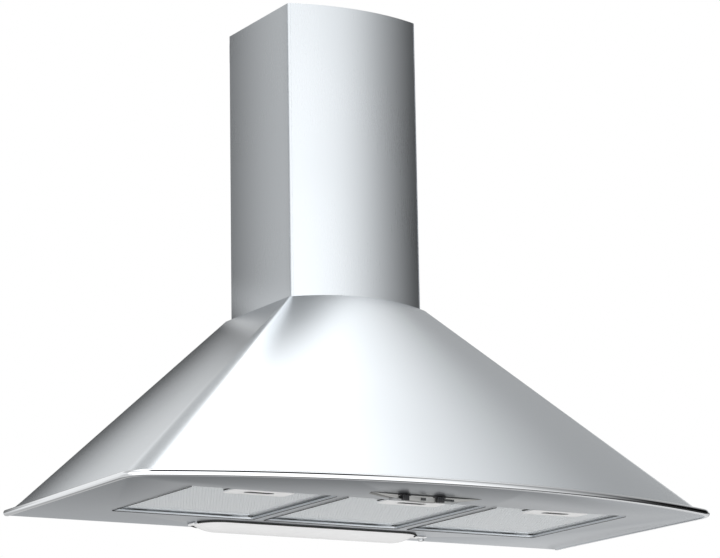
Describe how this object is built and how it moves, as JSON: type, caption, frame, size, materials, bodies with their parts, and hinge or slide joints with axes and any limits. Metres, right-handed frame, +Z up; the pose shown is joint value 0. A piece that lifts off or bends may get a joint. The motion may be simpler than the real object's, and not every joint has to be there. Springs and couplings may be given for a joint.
{
  "type": "range hood",
  "caption": "Wall-mounted chimney range hood with a curved stainless canopy, drop-down grease filters, slider controls, a lamp cover and a telescopic chimney over a blower.",
  "frame": {"origin": "midway between the two round wall-fixing holes, on the wall plane", "axes": "+X along the wall, to the right when facing the hood; +Y into the wall; +Z up"},
  "size_m": [0.9, 0.4869, 0.7324],
  "materials": {
    "brushed_stainless": "satin",
    "polished_stainless": "gloss",
    "panel_stainless": "satin",
    "galvanised_sheet": "matte",
    "filter_mesh": "matte",
    "fascia_satin": "satin",
    "black_plastic": "matte",
    "dark_lens": "gloss",
    "opal_plastic": "gloss",
    "grey_plastic": "matte",
    "white_plastic": "matte",
    "opal_glass": "gloss",
    "steel": "satin",
    "spring_steel": "satin",
    "black_rubber": "matte",
    "painted_motor": "satin"
  },
  "bodies": {
    "hood": {"canopy_shell": "brushed_stainless", "rim_trim": "polished_stainless", "rear_panel": "galvanised_sheet", "rear_rivets": "steel", "underside_panel": "panel_stainless", "control_fascia": "fascia_satin", "indicator_lens": "dark_lens", "light_switch": "grey_plastic", "fan_switch": "grey_plastic", "lamp_hinge": "steel", "lamp_tray": "galvanised_sheet", "lamp_holders": "white_plastic", "candle_lamps": "opal_glass", "chimney_lower": "brushed_stainless", "blower_deck": "galvanised_sheet", "cable_gland": "black_rubber", "blower_housing_left": "grey_plastic", "blower_housing_right": "grey_plastic", "blower_screws": "steel", "blower_motor": "painted_motor", "motor_bearings": "steel", "motor_bracket": "galvanised_sheet", "outlet_collar": "grey_plastic", "collar_screws": "steel", "flap_pins": "steel", "electrical_box": "white_plastic", "electrical_cover": "white_plastic", "terminal_block": "white_plastic", "capacitor": "white_plastic", "capacitor_clip": "galvanised_sheet"},
    "upper_chimney": {"chimney_upper": "brushed_stainless", "chimney_bracket": "galvanised_sheet", "bracket_screws": "steel"},
    "wheel": {"impeller": "galvanised_sheet", "motor_shaft": "steel"},
    "flap_front": {"damper_flap_front": "white_plastic"},
    "flap_rear": {"damper_flap_rear": "white_plastic"},
    "light_knob": {"light_slider": "black_plastic"},
    "fan_knob": {"fan_slider": "black_plastic"},
    "lamp_lid": {"lamp_cover": "opal_plastic"},
    "lamp_thumb_screw": {"lamp_screw": "steel"},
    "filter_left": {"filter_frame_left": "brushed_stainless", "filter_mesh_left": "filter_mesh", "filter_core_left": "filter_mesh", "latch_spring_left": "spring_steel"},
    "handle_left": {"filter_latch_left": "polished_stainless"},
    "filter_middle": {"filter_frame_middle": "brushed_stainless", "filter_mesh_middle": "filter_mesh", "filter_core_middle": "filter_mesh", "latch_spring_middle": "spring_steel"},
    "handle_middle": {"filter_latch_middle": "polished_stainless"},
    "filter_right": {"filter_frame_right": "brushed_stainless", "filter_mesh_right": "filter_mesh", "filter_core_right": "filter_mesh", "latch_spring_right": "spring_steel"},
    "handle_right": {"filter_latch_right": "polished_stainless"}
  },
  "joints": [
    {"name": "chimney_telescope", "type": "slide", "parent": "hood", "child": "upper_chimney", "axis": [0, 0, 1], "range_m": [0, 0.3]},
    {"name": "wheel_spin", "type": "hinge", "parent": "hood", "child": "wheel", "pos_m": [0, -0.136, -0.036], "axis": [1, 0, 0], "continuous": true},
    {"name": "front_flap_swing", "type": "hinge", "parent": "hood", "child": "flap_front", "pos_m": [0, -0.098, 0.1], "axis": [-1, 0, 0], "range_deg": [0, 75]},
    {"name": "rear_flap_swing", "type": "hinge", "parent": "hood", "child": "flap_rear", "pos_m": [0, -0.092, 0.1], "axis": [1, 0, 0], "range_deg": [0, 75]},
    {"name": "light_slide", "type": "slide", "parent": "hood", "child": "light_knob", "axis": [-1, 0, 0], "range_m": [0, 0.007]},
    {"name": "fan_slide", "type": "slide", "parent": "hood", "child": "fan_knob", "axis": [1, 0, 0], "range_m": [0, 0.021]},
    {"name": "lamp_cover_drop", "type": "hinge", "parent": "hood", "child": "lamp_lid", "pos_m": [-0.186, -0.041, -0.2013], "axis": [0, 1, 0], "range_deg": [0, 35]},
    {"name": "lamp_screw_turn", "type": "hinge", "parent": "lamp_lid", "child": "lamp_thumb_screw", "pos_m": [0.183, -0.041, -0.2], "axis": [0, 0, 1], "continuous": true},
    {"name": "filter_left_drop", "type": "hinge", "parent": "hood", "child": "filter_left", "pos_m": [-0.23, -0.101, -0.1948], "axis": [1, 0, 0], "range_deg": [0, 75]},
    {"name": "handle_left_pull", "type": "slide", "parent": "filter_left", "child": "handle_left", "axis": [0, 1, 0], "range_m": [0, 0.006], "stiffness_N_per_m": 500, "springref_m": -0.003, "deforming": ["latch_spring_left"]},
    {"name": "filter_middle_drop", "type": "hinge", "parent": "hood", "child": "filter_middle", "pos_m": [0, -0.101, -0.1948], "axis": [1, 0, 0], "range_deg": [0, 75]},
    {"name": "handle_middle_pull", "type": "slide", "parent": "filter_middle", "child": "handle_middle", "axis": [0, 1, 0], "range_m": [0, 0.006], "stiffness_N_per_m": 500, "springref_m": -0.003, "deforming": ["latch_spring_middle"]},
    {"name": "filter_right_drop", "type": "hinge", "parent": "hood", "child": "filter_right", "pos_m": [0.23, -0.101, -0.1948], "axis": [1, 0, 0], "range_deg": [0, 75]},
    {"name": "handle_right_pull", "type": "slide", "parent": "filter_right", "child": "handle_right", "axis": [0, 1, 0], "range_m": [0, 0.006], "stiffness_N_per_m": 500, "springref_m": -0.003, "deforming": ["latch_spring_right"]}
  ]
}
